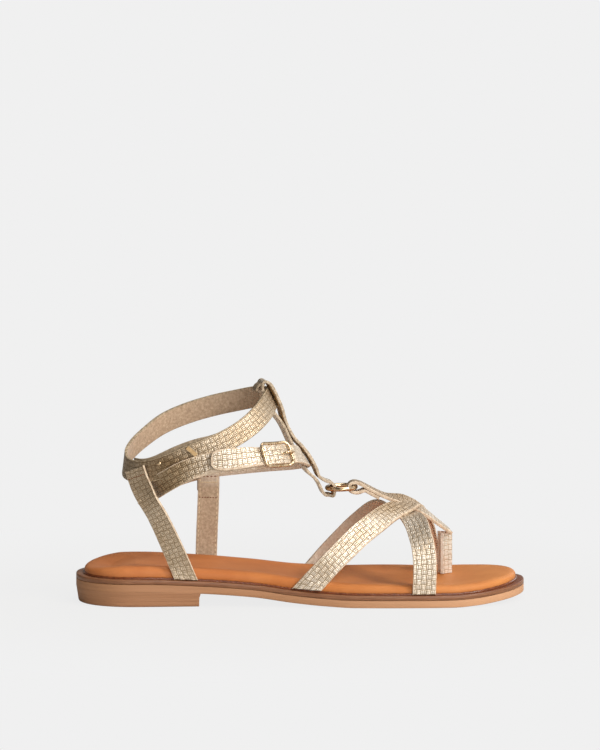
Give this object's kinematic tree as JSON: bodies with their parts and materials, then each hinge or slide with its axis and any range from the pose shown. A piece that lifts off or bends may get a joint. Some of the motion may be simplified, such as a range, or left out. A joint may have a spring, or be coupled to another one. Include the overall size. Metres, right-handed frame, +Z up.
{
  "type": "gladiator sandal",
  "caption": "Flat gladiator sandal, right foot: stacked low heel, padded footbed, crossed straps with a toe post, ringed instep strap and a double ankle strap with a buckle.",
  "frame": {"origin": "on the floor under the middle of the sole's bounding box", "axes": "+X from heel to toe, +Y towards the inner side of the foot, +Z up"},
  "size_m": [0.25, 0.084, 0.1229],
  "materials": {
    "outsole_rubber": "matt tan synthetic rubber, light wear lines on the heel",
    "rand_leather": "burnished mid brown leather board, satin edge",
    "footbed_leather": "smooth cognac leather, soft sheen",
    "metallic_leather": "champagne gold foiled leather embossed with a basket weave, beige lining",
    "gilt_metal": "polished gold plate"
  },
  "bodies": {
    "root": {"outsole": "outsole_rubber", "heel": "outsole_rubber", "rand": "rand_leather", "footbed": "footbed_leather", "forefoot_straps": "metallic_leather", "instep_strap": "metallic_leather", "ankle_strap": "metallic_leather", "heel_strap_outer": "metallic_leather", "heel_strap_inner": "metallic_leather", "ring": "gilt_metal", "buckle_frame": "gilt_metal", "buckle_prong": "gilt_metal"}
  },
  "joints": []
}
